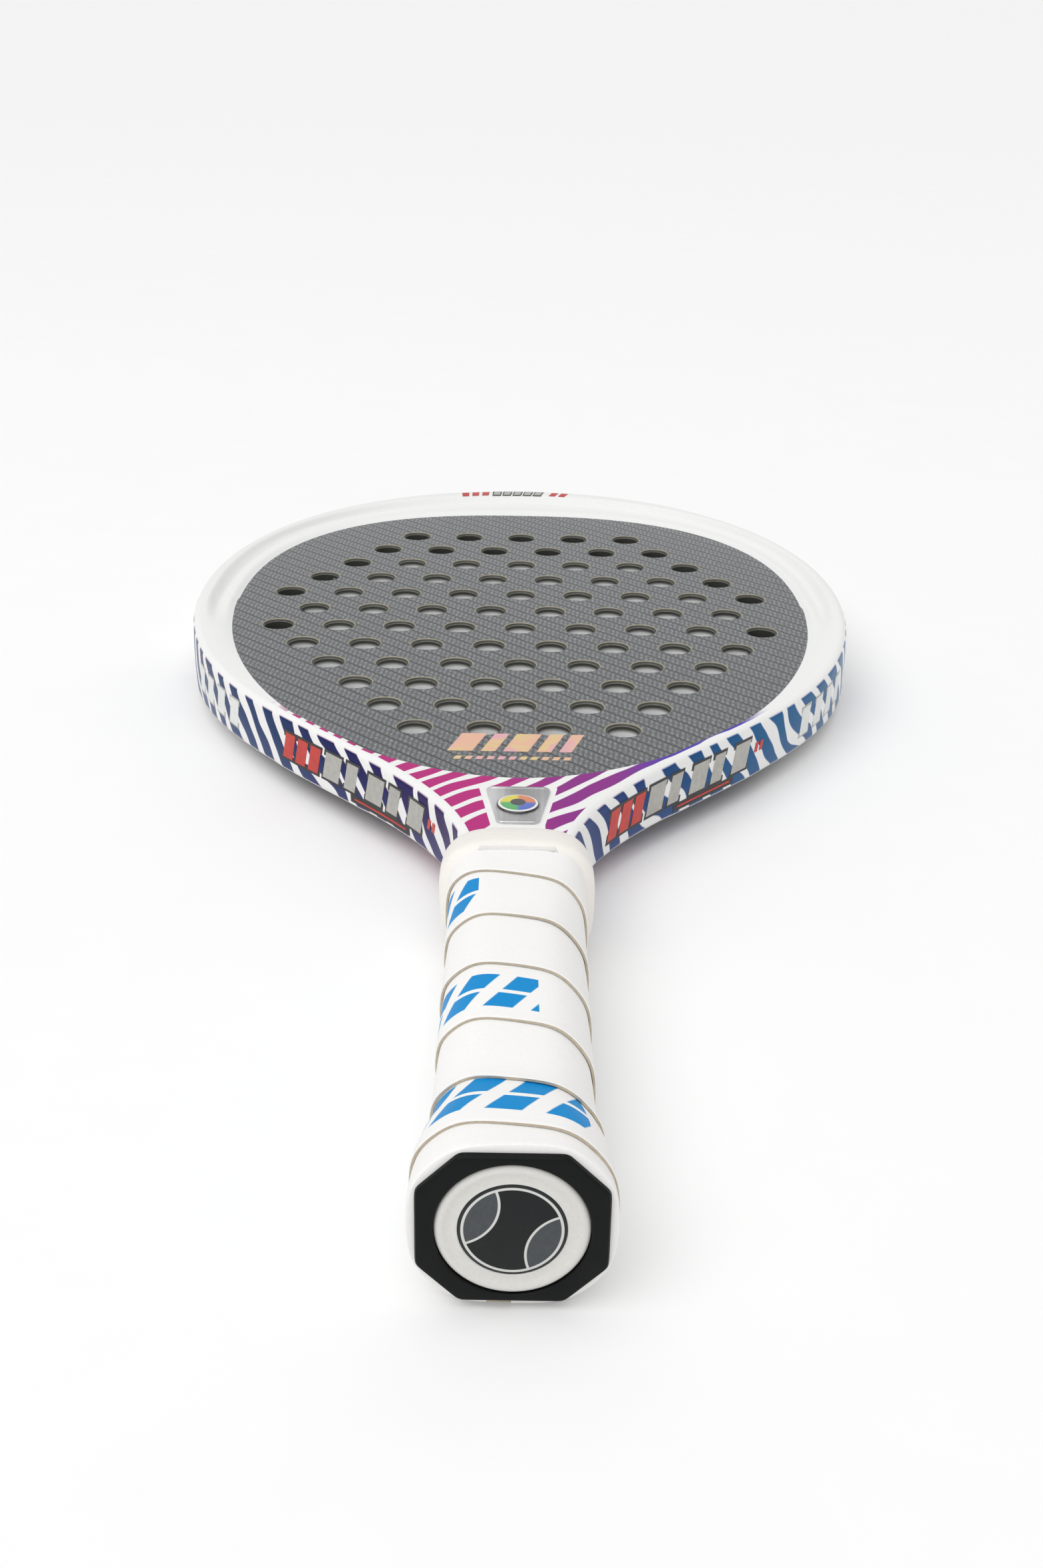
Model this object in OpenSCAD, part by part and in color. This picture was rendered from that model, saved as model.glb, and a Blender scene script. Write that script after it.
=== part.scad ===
// Perforated sports racket with a closed throat: carbon faces over a foam core,
// a hollow hairpin frame tube, an octagonal wrapped handle and a rubber collar.
// The origin is the centre of the butt end's face. +Y runs to the tip and +Z out
// of the front face, so z = 0 is the mid-plane.

/* [Head] */
// Overall length, from the butt end to the tip
overall_length = 473; // [465:1:490]
// Greatest width of the head
head_width = 226; // [220:1:240]
// Distance from the butt end to the widest part of the head
widest_y = 334; // [328:1:340]
// Squareness of the tip half of the outline, where 2 is an ellipse
tip_squareness = 2.1; // [2:0.05:2.4]
// Thickness over the two carbon faces
face_thickness = 18.5; // [17:0.5:22]
// Height of the rim's crest above the face, at the tip
crest_height = 3.5; // [1:0.5:5]

/* [Carbon face] */
// Width of the dark face sheet
sheet_width = 198.2; // [190:0.2:204]
// Distance from the butt end to the widest part of the sheet
sheet_widest_y = 328; // [322:1:334]
// Distance from the butt end to the sheet's lower edge
sheet_bottom_y = 183.5; // [182:0.5:190]
// Distance from the butt end to the sheet's upper edge
sheet_top_y = 446; // [436:1:448]
// Thickness of the carbon sheet
sheet_thickness = 0.6; // [0.4:0.1:1]
// Thickness of the glass ply under the carbon sheet
ply_thickness = 0.4; // [0.2:0.1:0.6]

/* [Holes] */
// Diameter of the face holes
hole_d = 9.5; // [8:0.5:11]
// Diameter of each hole's bevel at the face
bevel_d = 11.3; // [10:0.1:13]
// Distance between neighbouring holes
hole_pitch = 20.5; // [19:0.5:21]
// Distance from the butt end to the first row of holes
first_row_y = 219.3; // [218:0.1:222]

/* [Handle] */
// Width of the wrapped grip, flat to flat
grip_width = 32.9; // [31:0.1:36]
// Height of the wrapped grip, flat to flat
grip_height = 30; // [28:0.5:33]
// Thickness of the outer wrap
overgrip_thickness = 1.4; // [1:0.1:2]
// Thickness of the cushioned base grip
base_grip_thickness = 1.6; // [1.2:0.1:2]
// Distance from the butt end to the grip's head end
grip_end_y = 131; // [130:1:132]
// Width of the butt cap's end, flat to flat
cap_width = 36.3; // [35:0.1:39]
// Height of the butt cap's end, flat to flat
cap_height = 32.9; // [31:0.1:36]
// Diameter of the round butt cover
butt_disc_d = 29.3; // [26:0.1:31]
// Diameter of the butt badge
butt_badge_d = 20.5; // [16:0.5:24]
// Width of the rubber collar
collar_width = 39; // [37:0.5:42]
// Height of the rubber collar
collar_height = 32; // [31:0.5:35]

/* [Throat] */
// Length of the throat badge
badge_length = 22.4; // [18:0.2:24]
// Width of the throat badge's head end
badge_wide = 18; // [14:0.5:20]
// Width of the throat badge's handle end
badge_narrow = 11; // [8:0.5:14]
// Diameter of the dome on the throat badge
dome_d = 11.5; // [8:0.5:13]

/* [Hidden] */
$fn = 48;
eps = 0.01;

half_face = face_thickness / 2;                       // z of the carbon face
skin_t = sheet_thickness + ply_thickness;             // build-up over the core
half_core = half_face - skin_t;                       // z of the core's surface
leg_x = 12;                                           // outer side of a handle leg
leg_wall = 10.5;                                      // width of a handle leg
leg_start = 8;
leg_end = 112;
neck = [15.5, 150];                                   // where the flare begins
neck_pull = [15.4, 58.5];                             // direction and pull of the flare
widest_pull = 100.7;
tube_wall = 1.5;
head_tube_w = 15;                                     // radial width of the tube in the head
rim_min = 3.2;                                        // narrowest white rim beside the sheet
ledge_min = 1.5;                                      // narrowest ledge under a face sheet
edge_r = 2.6;                                         // rounding of the outer edges
row_counts = [4, 5, 6, 7, 8, 9, 8, 9, 8, 7, 6, 5];
row_step = hole_pitch * sin(60);
cover_start_y = 135.5;                                // throat cover, hidden by the collar
collar_start_y = 126;
collar_end_y = 142;
bridge_r = 70;                                        // inner radius of the bridge
bridge_w = 11;
bridge_y = 196;                                       // head-side edge of the bridge
flare_end_y = 27;                                     // where the butt flare meets the grip
cap_skirt_y = 26;
cap_plate = 4;
badge_y = 165;
mark_size = [41, 22];
mark_y = 201;
film = 0.2;                                           // thickness of a decal
decal_start_y = 160;                                  // side decals, along the flare
decal_end_y = 286;
decal_half_z = 6.8;

// ---- Outline ---------------------------------------------------------------

function mix(a, b, t) = a + (b - a) * t;
function clamp(v, lo, hi) = min(max(v, lo), hi);
function smooth(v, a, b) = let(t = clamp((v - a) / (b - a), 0, 1)) t * t * (3 - 2 * t);
function bezier(a, b, c, d, t) =
    pow(1 - t, 3) * a + 3 * pow(1 - t, 2) * t * b + 3 * (1 - t) * t * t * c + pow(t, 3) * d;

half_head = head_width / 2;
tip_half = overall_length - widest_y;

// Right half of the outer outline, from the handle leg to the tip
leg_points = [for (y = [leg_start, 40, 76, leg_end]) [leg_x, y]];
neck_points = [for (i = [1:8])
    bezier([leg_x, leg_end], [leg_x, 124], neck - [2.4, 9], neck, i / 8)];
flare_points = [for (i = [1:20])
    bezier(neck, neck + neck_pull, [half_head, widest_y - widest_pull],
           [half_head, widest_y], i / 20)];
crown_points = [for (i = [1:18]) let(a = i * 5)
    [half_head * pow(cos(a), 2 / tip_squareness),
     widest_y + tip_half * pow(sin(a), 2 / tip_squareness)]];
right_half = concat(leg_points, neck_points, flare_points, crown_points);
left_half = [for (i = [len(right_half) - 2:-1:0]) [-right_half[i].x, right_half[i].y]];
outline = concat(right_half, left_half);
last = len(outline) - 1;

// Inward normal at each point of the outline
function unit(v) = v / norm(v);
normals = [for (i = [0:last])
    let(d = outline[min(i + 1, last)] - outline[max(i - 1, 0)]) unit([-d.y, d.x])];

// Value that is zero on the carbon sheet's edge and negative inside it
function sheet_value(p) = let(
        low = p.y < sheet_widest_y,
        b = low ? sheet_widest_y - sheet_bottom_y : sheet_top_y - sheet_widest_y,
        n = low ? 1.85 : 2.5)
    pow(abs(p.x) / (sheet_width / 2), n) + pow(abs(p.y - sheet_widest_y) / b, n) - 1;

// Distance inward from a point of the outline to the sheet's edge, by halving
function gap_to_sheet(p, n, lo = 0, hi = 40, k = 16) = k == 0 ? (lo + hi) / 2 :
    let(m = (lo + hi) / 2)
    sheet_value(p + m * n) > 0 ? gap_to_sheet(p, n, m, hi, k - 1)
                               : gap_to_sheet(p, n, lo, m, k - 1);

// Radial widths at each station: the bare rim, and the whole tube
function base_w(y) = mix(leg_wall, head_tube_w, smooth(y, 130, 185));
gaps = [for (i = [0:last]) outline[i].y < 150 ? 100 : gap_to_sheet(outline[i], normals[i])];
tube_w = [for (i = [0:last]) let(w = base_w(outline[i].y))
    outline[i].y < widest_y ? w : max(w, gaps[i] + ledge_min)];
rim_w = [for (i = [0:last]) clamp(gaps[i], rim_min, tube_w[i] - ledge_min)];

function at(i, r) = outline[i] + r * normals[i];
inner_loop = [for (i = [0:last]) at(i, tube_w[i])];
rim_loop = [for (i = [0:last]) at(i, rim_w[i])];

// ---- Frame tube ------------------------------------------------------------

// Height of the crest above the face along the head, and of the face's own plane
function crest(y) = crest_height * smooth(y, 235, 350);
function top_z(y) = mix(half_core, half_face, smooth(y, grip_end_y, cover_start_y - 0.5));

// Half section of the tube's outside at station i, as [inward distance, height]
function half_section(i) = let(
        y = outline[i].y, t = top_z(y), c = crest(y), w = rim_w[i],
        lip = mix(0.3, 0.43, smooth(y, 340, overall_length)) * w)
    [[0, 0.2], [0, t - 2.2], [0.25 * edge_r, t - 0.7 + 0.6 * c],
     [max(edge_r * 0.75, 0.5 * lip), t + c - 0.1], [max(edge_r, lip), t + c],
     [mix(lip, w, 0.45), t + 0.35 * c], [w, t], [w, half_core], [tube_w[i], half_core]];

// Half section of the hollow inside the tube, with as many points
function half_hollow(i) = let(
        a = tube_wall, b = tube_w[i] - tube_wall, z = half_core - tube_wall, m = (a + b) / 2)
    [[a, 0.2], [a + 0.1, z - 3], [a + 0.7, z - 1.3], [a + 1.8, z - 0.5], [a + 3, z - 0.2],
     [m, z], [b - 2, z - 0.2], [b - 0.6, z - 0.8], [b, z - 2]];

function mirror_section(half) =
    concat(half, [for (k = [len(half) - 1:-1:0]) [half[k][0], -half[k][1]]]);
function place(i, q) = let(p = at(i, q[0])) [p.x, p.y, q[1]];
function ring(i, half) = [for (q = mirror_section(half)) place(i, q)];

section_n = 18;
function quad(a, b, c, d) = [[a, b, c], [a, c, d]];
// Side faces of a swept skin whose first point is number `start`
function skin_faces(start, stations, n, flip) = [
    for (s = [0:stations - 2], k = [0:n - 1]) let(
            a = start + s * n + k, b = start + s * n + (k + 1) % n, c = b + n, d = a + n)
        each (flip ? quad(a, d, c, b) : quad(a, b, c, d))];
function end_cap(start, n, flip) = [
    for (k = [1:n - 2]) flip ? [start, start + k + 1, start + k] : [start, start + k, start + k + 1]];

// A solid swept through a list of rings
module swept(rings) {
    n = len(rings[0]);
    count = len(rings);
    polyhedron(points = [for (r = rings) each r],
               faces = concat(skin_faces(0, count, n, true), end_cap(0, n, false),
                              end_cap((count - 1) * n, n, true)),
               convexity = 10);
}

module frame_tube() {
    rings_out = [for (i = [0:last]) ring(i, half_section(i))];
    rings_in = [for (i = [0:last]) ring(i, half_hollow(i))];
    n = section_n;
    m = (last + 1) * n;
    ends = [for (k = [0:n - 1]) let(b = (k + 1) % n)
        each concat(quad(k, b, m + b, m + k),
                    quad(m - n + k, 2 * m - n + k, 2 * m - n + b, m - n + b))];
    color("white")
        polyhedron(points = concat([for (r = rings_out) each r], [for (r = rings_in) each r]),
                   faces = concat(skin_faces(0, last + 1, n, true),
                                  skin_faces(m, last + 1, n, false), ends),
                   convexity = 12);
}

module frame_foam() {
    color("khaki") swept([for (i = [0:last]) ring(i, half_hollow(i))]);
}

// ---- Core, bridge and faces ------------------------------------------------

module slab(z, t) translate([0, 0, z]) linear_extrude(t) children();

module bridge_disc(grow) translate([0, bridge_y + bridge_r]) circle(r = bridge_r + grow, $fn = 96);

// Plan of everything on the head side of an arc concentric with the bridge
module beyond_arc(grow) {
    bridge_disc(grow);
    translate([-head_width, bridge_y + bridge_r / 2]) square([2 * head_width, overall_length]);
}

module hole_grid(r) {
    for (k = [0:len(row_counts) - 1], i = [0:row_counts[k] - 1])
        translate([(i - (row_counts[k] - 1) / 2) * hole_pitch, first_row_y + k * row_step, 0])
            cylinder(h = 2 * face_thickness, r = r, center = true, $fn = 32);
}

module bevel_grid() {
    for (k = [0:len(row_counts) - 1], i = [0:row_counts[k] - 1])
        translate([(i - (row_counts[k] - 1) / 2) * hole_pitch, first_row_y + k * row_step,
                   half_face - sheet_thickness])
            cylinder(h = sheet_thickness + eps, d1 = hole_d, d2 = bevel_d, $fn = 32);
}

module core_plan() {
    intersection() {
        polygon(inner_loop);
        beyond_arc(0);
    }
}

// The carbon sheet's edge follows the rim's ledge, and closes over the throat. Its own
// outline grows away from the throat, so that the ledge alone bounds it there.
function sheet_edge(a) = let(
        low = sin(a) < 0,
        b = low ? sheet_widest_y - sheet_bottom_y : sheet_top_y - sheet_widest_y,
        n = low ? 1.85 : 2.5,
        p = [sign(cos(a)) * sheet_width / 2 * pow(abs(cos(a)), 2 / n),
             sheet_widest_y + sign(sin(a)) * b * pow(abs(sin(a)), 2 / n)],
        grow = 1 + 0.04 * smooth(p.y, sheet_bottom_y + 1, sheet_bottom_y + 17))
    [p.x * grow, sheet_widest_y + (p.y - sheet_widest_y) * grow];

module sheet_plan() {
    intersection() {
        polygon(rim_loop);
        polygon([for (a = [0:3:357]) sheet_edge(a)]);
    }
}

module eva_core() {
    color("gainsboro") difference() {
        slab(-half_core, 2 * half_core) core_plan();
        hole_grid(hole_d / 2);
    }
}

module throat_bridge() {
    color("dimgray") slab(-half_core, 2 * half_core) difference() {
        intersection() {
            polygon(inner_loop);
            bridge_disc(bridge_w);
            translate([-head_width, 0]) square([2 * head_width, bridge_y + bridge_r / 2]);
        }
        beyond_arc(0);
    }
}

module throat_foam() {
    color("khaki") slab(-half_core, 2 * half_core) difference() {
        intersection() {
            polygon(inner_loop);
            translate([-half_head, leg_start]) square([head_width, bridge_y - leg_start]);
        }
        beyond_arc(bridge_w);
    }
}

module glass_ply() {
    color("wheat") difference() {
        slab(half_core, ply_thickness) sheet_plan();
        hole_grid(hole_d / 2);
    }
}

module carbon_face() {
    color([0.18, 0.19, 0.2]) difference() {
        slab(half_face - sheet_thickness, sheet_thickness) sheet_plan();
        bevel_grid();
        foil_bars(film + eps);
    }
}

module throat_cover() {
    color("white") slab(half_core, skin_t) difference() {
        intersection() {
            polygon(rim_loop);
            translate([-half_head, cover_start_y]) square([head_width, 90]);
        }
        sheet_plan();
    }
}

module to_back() mirror([0, 0, 1]) children();

// ---- Handle ----------------------------------------------------------------

// Octagon of width w and height h, whose sloping flats cut its corners by c
module octagon(w, h, c) polygon([
    [w / 2, h / 2 - c], [w / 2 - c, h / 2], [c - w / 2, h / 2], [-w / 2, h / 2 - c],
    [-w / 2, c - h / 2], [c - w / 2, -h / 2], [w / 2 - c, -h / 2], [w / 2, c - h / 2]]);

corner = 7.4;
// Octagonal bar along +Y from y0 to y1, smaller than the wrapped grip by `inset` all round
module bar(y0, y1, inset) {
    translate([0, y0, 0]) rotate([-90, 0, 0]) linear_extrude(y1 - y0)
        octagon(grip_width - 2 * inset, grip_height - 2 * inset, corner - 0.586 * inset);
}

// Octagonal frustum along +Y between two sizes
module taper(y0, w0, h0, y1, w1, h1) {
    hull() {
        translate([0, y0, 0]) rotate([-90, 0, 0]) linear_extrude(eps)
            octagon(w0, h0, corner * w0 / grip_width);
        translate([0, y1 - eps, 0]) rotate([-90, 0, 0]) linear_extrude(eps)
            octagon(w1, h1, corner * w1 / grip_width);
    }
}

pallet_inset = overgrip_thickness + base_grip_thickness;
skirt_w = grip_width - 2 * overgrip_thickness;
skirt_h = grip_height - 2 * overgrip_thickness;

module handle_pallet() {
    color("burlywood") difference() {
        intersection() {
            bar(cap_plate, grip_end_y, pallet_inset);
            translate([-grip_width, 0, 0]) cube([2 * grip_width, 2 * grip_end_y, grip_height]);
        }
        translate([-leg_x, leg_start, -eps]) cube([2 * leg_x, leg_end - leg_start, half_core + eps]);
        translate([-leg_x - 1.2, leg_end, -eps])
            cube([2 * leg_x + 2.4, grip_end_y, half_core + eps]);
    }
}

module base_grip() {
    color("black") difference() {
        bar(cap_skirt_y, grip_end_y, overgrip_thickness);
        bar(0, overall_length, pallet_inset);
    }
}

module overgrip() {
    color("whitesmoke") difference() {
        union() {
            bar(flare_end_y, grip_end_y, 0);
            taper(12, 38.6, 35.4, flare_end_y + eps, grip_width, grip_height);
            taper(4, 39.6, 36.2, 12 + eps, 38.6, 35.4);
            taper(1.5, 38, 34.6, 4 + eps, 39.6, 36.2);
        }
        butt_cap_outside();
        bar(cap_skirt_y - eps, overall_length, overgrip_thickness);
    }
}

module grip_end_tape() {
    color("white") difference() {
        bar(collar_start_y + 1, grip_end_y, -0.4);
        bar(0, overall_length, 0);
    }
}

// Rubber collar: a rounded ring over the grip's end and the neck
module grip_collar() {
    color("snow") difference() {
        translate([0, collar_start_y, 0]) rotate([-90, 0, 0])
            linear_extrude(collar_end_y - collar_start_y)
                offset(9, $fn = 32)
                    square([collar_width - 18, collar_height - 18], center = true);
        bar(0, collar_start_y + 1, 0);
        bar(collar_start_y + 1 - eps, grip_end_y, -0.4);
        translate([-neck.x, grip_end_y - eps, -half_face])
            cube([2 * neck.x, overall_length, face_thickness]);
    }
}

// ---- Butt end --------------------------------------------------------------

module butt_cap_outside() {
    taper(0, cap_width, cap_height, 6, cap_width, cap_height);
    taper(6 - eps, cap_width, cap_height, cap_skirt_y, skirt_w, skirt_h);
}

module end_disc(y0, y1, d) translate([0, y0, 0]) rotate([-90, 0, 0]) cylinder(h = y1 - y0, d = d, $fn = 96);

disc_depth = 1.2;
badge_depth = 0.9;
badge_sink = 0.3;
module butt_cap() {
    color([0.08, 0.09, 0.09]) difference() {
        butt_cap_outside();
        bar(cap_plate, overall_length, pallet_inset);
        end_disc(-1, disc_depth, butt_disc_d);
    }
}

module butt_disc() {
    color("white") difference() {
        end_disc(0, disc_depth, butt_disc_d);
        end_disc(-1, badge_depth, butt_badge_d);
    }
}

module butt_badge() color("gray") end_disc(badge_sink, badge_depth, butt_badge_d);

// ---- Badges and decals -----------------------------------------------------

badge_thickness = 0.8;
dome_height = 0.5;
module throat_badge() {
    h = badge_length / 2 - 2;
    color("silver") slab(half_face, badge_thickness) translate([0, badge_y]) offset(2, $fn = 24)
        polygon([[badge_wide / 2 - 2, h], [2 - badge_wide / 2, h],
                 [2 - badge_narrow / 2, -h], [badge_narrow / 2 - 2, -h]]);
}

module throat_dome() {
    color("royalblue") translate([0, badge_y, half_face + badge_thickness])
        cylinder(h = dome_height, d = dome_d);
}

// A film on the side wall, between two distances from the butt end
module side_film(y0, y1, half_z, first, final) {
    rings = [for (i = [first:final]) if (outline[i].y >= y0 && outline[i].y <= y1)
        [for (q = [[-film, -half_z], [0, -half_z], [0, half_z], [-film, half_z]]) place(i, q)]];
    swept(rings);
}

middle = len(right_half) - 1;
module side_decal_right()
    color("steelblue") side_film(decal_start_y, decal_end_y, decal_half_z, 0, middle);
module side_decal_left()
    color("slateblue") side_film(decal_start_y, decal_end_y, decal_half_z, middle, last);

module tip_decal() {
    near = [for (i = [0:last]) if (outline[i].y > overall_length - 6) i];
    inside = [for (i = near) at(i, 4)];
    outside = [for (k = [len(near) - 1:-1:0]) at(near[k], 10)];
    color("crimson") slab(half_face + crest_height, film) polygon(concat(inside, outside));
}

// Slanting bars over a line, let into the resin coat so that the face stays flat
module foil_bars(t) {
    translate([-mark_size.x / 2, mark_y - mark_size.y / 2, half_face - film]) linear_extrude(t) {
        for (k = [0:3]) translate([k * mark_size.x / 4, mark_size.y * 0.4])
            polygon([[0, 0], [7, 0], [11, 13], [4, 13]]);
        translate([2, 3]) square([mark_size.x - 5, 2]);
    }
}

module foil_mark() color("tan") foil_bars(film);

frame_tube();
frame_foam();
throat_bridge();
throat_foam();
eva_core();
glass_ply();  // front_glass_ply
to_back() glass_ply();  // back_glass_ply
carbon_face();  // front_carbon_face
to_back() carbon_face();  // back_carbon_face
throat_cover();  // throat_cover_front
to_back() throat_cover();  // throat_cover_back
handle_pallet();  // handle_pallet_front
to_back() handle_pallet();  // handle_pallet_back
base_grip();
overgrip();
grip_end_tape();
grip_collar();
butt_cap();
butt_disc();
butt_badge();
throat_badge();  // throat_badge_front
to_back() throat_badge();  // throat_badge_back
throat_dome();  // throat_dome_front
to_back() throat_dome();  // throat_dome_back
side_decal_left();
side_decal_right();
tip_decal();
foil_mark();  // foil_mark_front
to_back() foil_mark();  // foil_mark_back
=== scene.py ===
"""Looks of the perforated racket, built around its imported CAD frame.

Lengths inside the functions are in millimetres in the row frame: +Y runs from the butt end
to the tip, +Z out of the front face. mesh() turns them into metres.
"""

import math

import bmesh
import bpy
import numpy as np
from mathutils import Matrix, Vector
from mathutils.geometry import delaunay_2d_cdt


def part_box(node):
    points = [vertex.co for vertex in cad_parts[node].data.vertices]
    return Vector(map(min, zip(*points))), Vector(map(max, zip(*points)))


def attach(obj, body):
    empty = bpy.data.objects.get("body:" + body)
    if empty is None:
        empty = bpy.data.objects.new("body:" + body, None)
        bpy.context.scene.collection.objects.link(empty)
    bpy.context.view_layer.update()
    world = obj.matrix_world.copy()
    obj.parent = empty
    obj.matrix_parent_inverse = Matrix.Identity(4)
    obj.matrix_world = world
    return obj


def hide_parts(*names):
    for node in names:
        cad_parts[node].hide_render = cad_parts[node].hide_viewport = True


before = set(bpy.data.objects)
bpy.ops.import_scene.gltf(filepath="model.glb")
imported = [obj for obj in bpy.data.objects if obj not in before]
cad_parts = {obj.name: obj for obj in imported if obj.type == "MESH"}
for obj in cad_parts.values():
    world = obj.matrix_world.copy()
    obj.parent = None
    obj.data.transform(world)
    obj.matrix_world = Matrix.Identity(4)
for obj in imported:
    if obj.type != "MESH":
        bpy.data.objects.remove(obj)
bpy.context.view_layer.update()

MM = 0.001


# ---------------- sizes from the frame

def box_mm(node):
    """Lowest and highest corner of a CAD node, in millimetres."""
    return [np.array(corner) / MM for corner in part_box(node)]


TUBE_HIGH = box_mm("frame_tube")[1]
SHEET_LOW, SHEET_HIGH = box_mm("front_carbon_face")
COVER_LOW = box_mm("throat_cover_front")[0]
BASE_HIGH = box_mm("base_grip")[1]
COLLAR_LOW, COLLAR_HIGH = box_mm("grip_collar")
CAP_HIGH = box_mm("butt_cap")[1]
DISC_HIGH = box_mm("butt_disc")[1]
BUTT_BADGE_HIGH = box_mm("butt_badge")[1]
PLATE_LOW, PLATE_HIGH = box_mm("throat_badge_front")
DOME_LOW, DOME_HIGH = box_mm("throat_dome_front")
FOIL_LOW = box_mm("foil_mark_front")[0]

HALF_HEAD = TUBE_HIGH[0]
TIP_Y = TUBE_HIGH[1]
FACE_Z = SHEET_HIGH[2]
CREST = TUBE_HIGH[2] - FACE_Z
SHEET_HALF = SHEET_HIGH[0]
SKIN = FACE_Z - COVER_LOW[2]

WIDEST_Y = 334.0            # where the head is widest
SHEET_WIDEST_Y = 328.0      # where the carbon sheet is widest
NECK = np.array([15.5, 150.0])
NECK_PULL = np.array([15.4, 58.5])
WIDEST_PULL = 100.7
LEG_X = 12.0
LEG_START = 8.0
LEG_Y = 112.0
TIP_POWER = 2.1             # squareness of the tip half of the outline
SHEET_LOW_POWER = 1.85
SHEET_HIGH_POWER = 2.5
LEG_WIDTH = 10.5
TUBE_WIDTH = 15.0
RIM_MIN = 3.2
LEDGE = 1.5
EDGE_R = 2.4                # rounding of the frame's outer edges

HOLE_PITCH = 20.5
FIRST_ROW_Y = 219.3
ROW_COUNTS = (4, 5, 6, 7, 8, 9, 8, 9, 8, 7, 6, 5)
HOLE_R = 4.72
BEVEL_R = 5.65
BEVEL_DEPTH = 0.55

BAND = 5.11                 # pitch of the carbon weave's bands
BEAD = 2.02                 # pitch of the beads along a band
THROAT_PERIOD = 6.9         # pitch of the printed stripes
WALL_PERIOD = 11.0
FLAT_ZONE = 1.55            # the zone of half_profile() where the rim's flat top starts


# ---------------- small maths

def smooth(value, low, high):
    """0 below low, 1 above high, with a soft turn at both."""
    t = np.clip((value - low) / (high - low), 0, 1)
    return t * t * (3 - 2 * t)


def mix(a, b, t):
    return a + (b - a) * t


def bezier(a, b, c, d, count):
    t = np.linspace(0, 1, count)[:, None]
    return (1 - t) ** 3 * a + 3 * (1 - t) ** 2 * t * b + 3 * (1 - t) * t * t * c + t ** 3 * d


def through(points, at):
    """A smooth curve through (position, value) points that never overshoots them."""
    x, y = np.array(points, float).T
    slope = np.diff(y) / np.diff(x)
    same = slope[1:] * slope[:-1] > 0
    inner = np.where(same, 2 * slope[1:] * slope[:-1] / np.where(same, slope[1:] + slope[:-1], 1), 0)
    m = np.r_[slope[0], inner, slope[-1]]
    at = np.clip(at, x[0], x[-1])
    k = np.clip(np.searchsorted(x, at, side="right") - 1, 0, len(x) - 2)
    h = x[k + 1] - x[k]
    t = (at - x[k]) / h
    return ((2 * t ** 3 - 3 * t ** 2 + 1) * y[k] + (t ** 3 - 2 * t ** 2 + t) * h * m[k]
            + (3 * t ** 2 - 2 * t ** 3) * y[k + 1] + (t ** 3 - t ** 2) * h * m[k + 1])


def between(at, stations, table):
    """Rows of a two-column table at places between its stations."""
    return np.stack([np.interp(at, stations, table[:, k]) for k in (0, 1)], axis=-1)


def full_turn(count):
    return np.linspace(0, 2 * math.pi, count, endpoint=False)


def around(reach, angle, y):
    """Points at a reach from the Y axis, at an angle up from +X."""
    height = np.broadcast_to(y, reach.shape)
    return np.stack([reach * np.cos(angle), height, reach * np.sin(angle)], axis=-1)


def along(points, step):
    """The same path with evenly spaced points about `step` apart."""
    lengths = np.r_[0, np.cumsum(np.linalg.norm(np.diff(points, axis=0), axis=1))]
    count = int(round(lengths[-1] / step)) + 1
    at = np.linspace(0, lengths[-1], count)
    return between(at, lengths, points)


# ---------------- outlines

def right_outline():
    """Outer edge of the right half, from the handle leg round to the tip."""
    leg = np.array([LEG_X, LEG_Y])
    neck = bezier(leg, leg + [0, 12], NECK - [2.4, 9], NECK, 60)
    widest = np.array([HALF_HEAD, WIDEST_Y])
    flare = bezier(NECK, NECK + NECK_PULL, widest - [0, WIDEST_PULL], widest, 300)
    a = np.linspace(0, math.pi / 2, 300)
    crown = np.stack([HALF_HEAD * np.cos(a) ** (2 / TIP_POWER),
                      WIDEST_Y + (TIP_Y - WIDEST_Y) * np.sin(a) ** (2 / TIP_POWER)], axis=1)
    crown[-1, 0] = 0
    start = np.array([[LEG_X, LEG_START]])
    return along(np.concatenate([start, neck, flare[1:], crown[1:]]), 1.9)


RIGHT = right_outline()
OUTLINE = np.concatenate([RIGHT, (RIGHT * [-1, 1])[-2::-1]])
_tangent = np.gradient(OUTLINE, axis=0)
_tangent /= np.linalg.norm(_tangent, axis=1)[:, None]
INWARD = np.stack([-_tangent[:, 1], _tangent[:, 0]], axis=1)
TRAVEL = np.r_[0, np.cumsum(np.linalg.norm(np.diff(OUTLINE, axis=0), axis=1))]
TIP_INDEX = len(RIGHT) - 1


def sheet_value(p):
    """Zero on the carbon sheet's edge, negative inside it."""
    low = p[:, 1] < SHEET_WIDEST_Y
    reach = np.where(low, SHEET_WIDEST_Y - SHEET_LOW[1], SHEET_HIGH[1] - SHEET_WIDEST_Y)
    power = np.where(low, SHEET_LOW_POWER, SHEET_HIGH_POWER)
    return (np.abs(p[:, 0] / SHEET_HALF) ** power + np.abs((p[:, 1] - SHEET_WIDEST_Y) / reach) ** power - 1)


def gaps_to_sheet():
    """Distance inward from each outline point to the sheet's edge, by halving."""
    low, high = np.zeros(len(OUTLINE)), np.full(len(OUTLINE), 40.0)
    for _ in range(24):
        middle = (low + high) / 2
        outside = sheet_value(OUTLINE + middle[:, None] * INWARD) > 0
        low, high = np.where(outside, middle, low), np.where(outside, high, middle)
    return np.where(OUTLINE[:, 1] < NECK[1], 100.0, low)


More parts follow.
